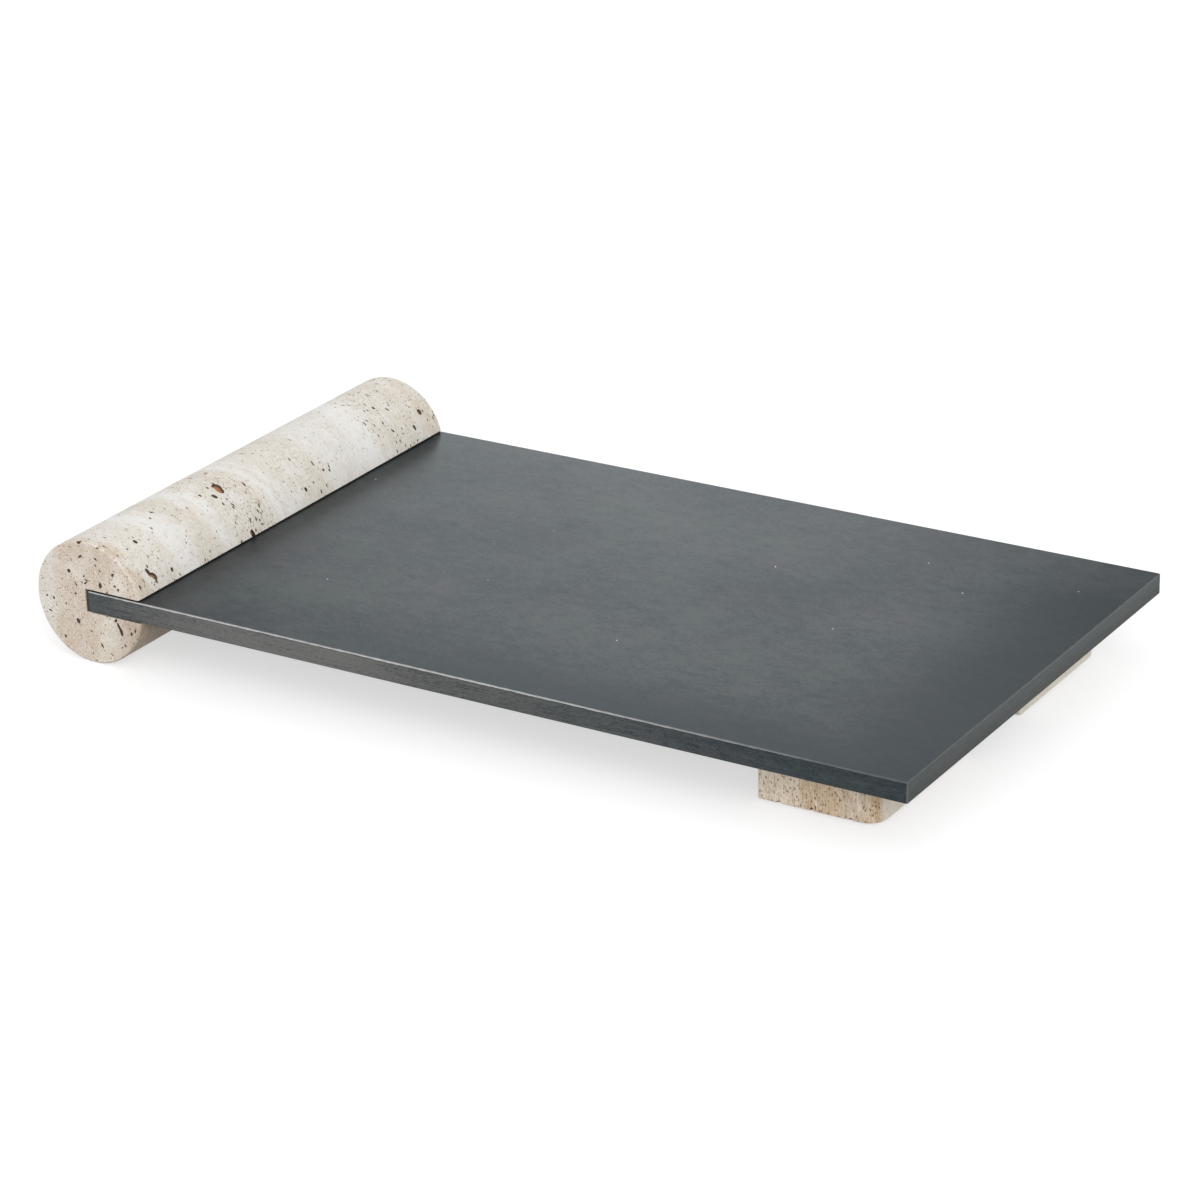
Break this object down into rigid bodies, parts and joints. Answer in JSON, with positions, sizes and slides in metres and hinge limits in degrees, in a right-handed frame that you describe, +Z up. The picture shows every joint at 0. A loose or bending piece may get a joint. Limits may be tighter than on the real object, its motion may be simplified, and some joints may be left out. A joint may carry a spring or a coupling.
{
  "type": "serving tray",
  "caption": "Low rectangular tray: a flat dark steel slab let into a round travertine roll at one end and standing on travertine block feet at the other.",
  "frame": {"origin": "on the table, under the middle of the tray's outer box", "axes": "+X along the tray from the roll to the free edge, +Y to the back, +Z up"},
  "size_m": [0.46, 0.254, 0.061],
  "materials": {
    "blackened_steel": "blackened, brushed and waxed",
    "fibreboard": "raw medium density fibreboard",
    "travertine": "honed, unfilled",
    "dark_epoxy": "cured adhesive",
    "bare_steel": "bright",
    "felt": "pressed felt"
  },
  "bodies": {
    "root": {"top_pan": "blackened_steel", "core_board": "fibreboard", "base_sheet": "blackened_steel", "stone_roll": "travertine", "slot_bedding": "dark_epoxy", "front_foot": "travertine", "front_foot_dowel_outer": "bare_steel", "front_foot_dowel_inner": "bare_steel", "front_foot_pad_outer": "felt", "front_foot_pad_inner": "felt", "rear_foot": "travertine", "rear_foot_dowel_outer": "bare_steel", "rear_foot_dowel_inner": "bare_steel", "rear_foot_pad_outer": "felt", "rear_foot_pad_inner": "felt"}
  },
  "joints": []
}
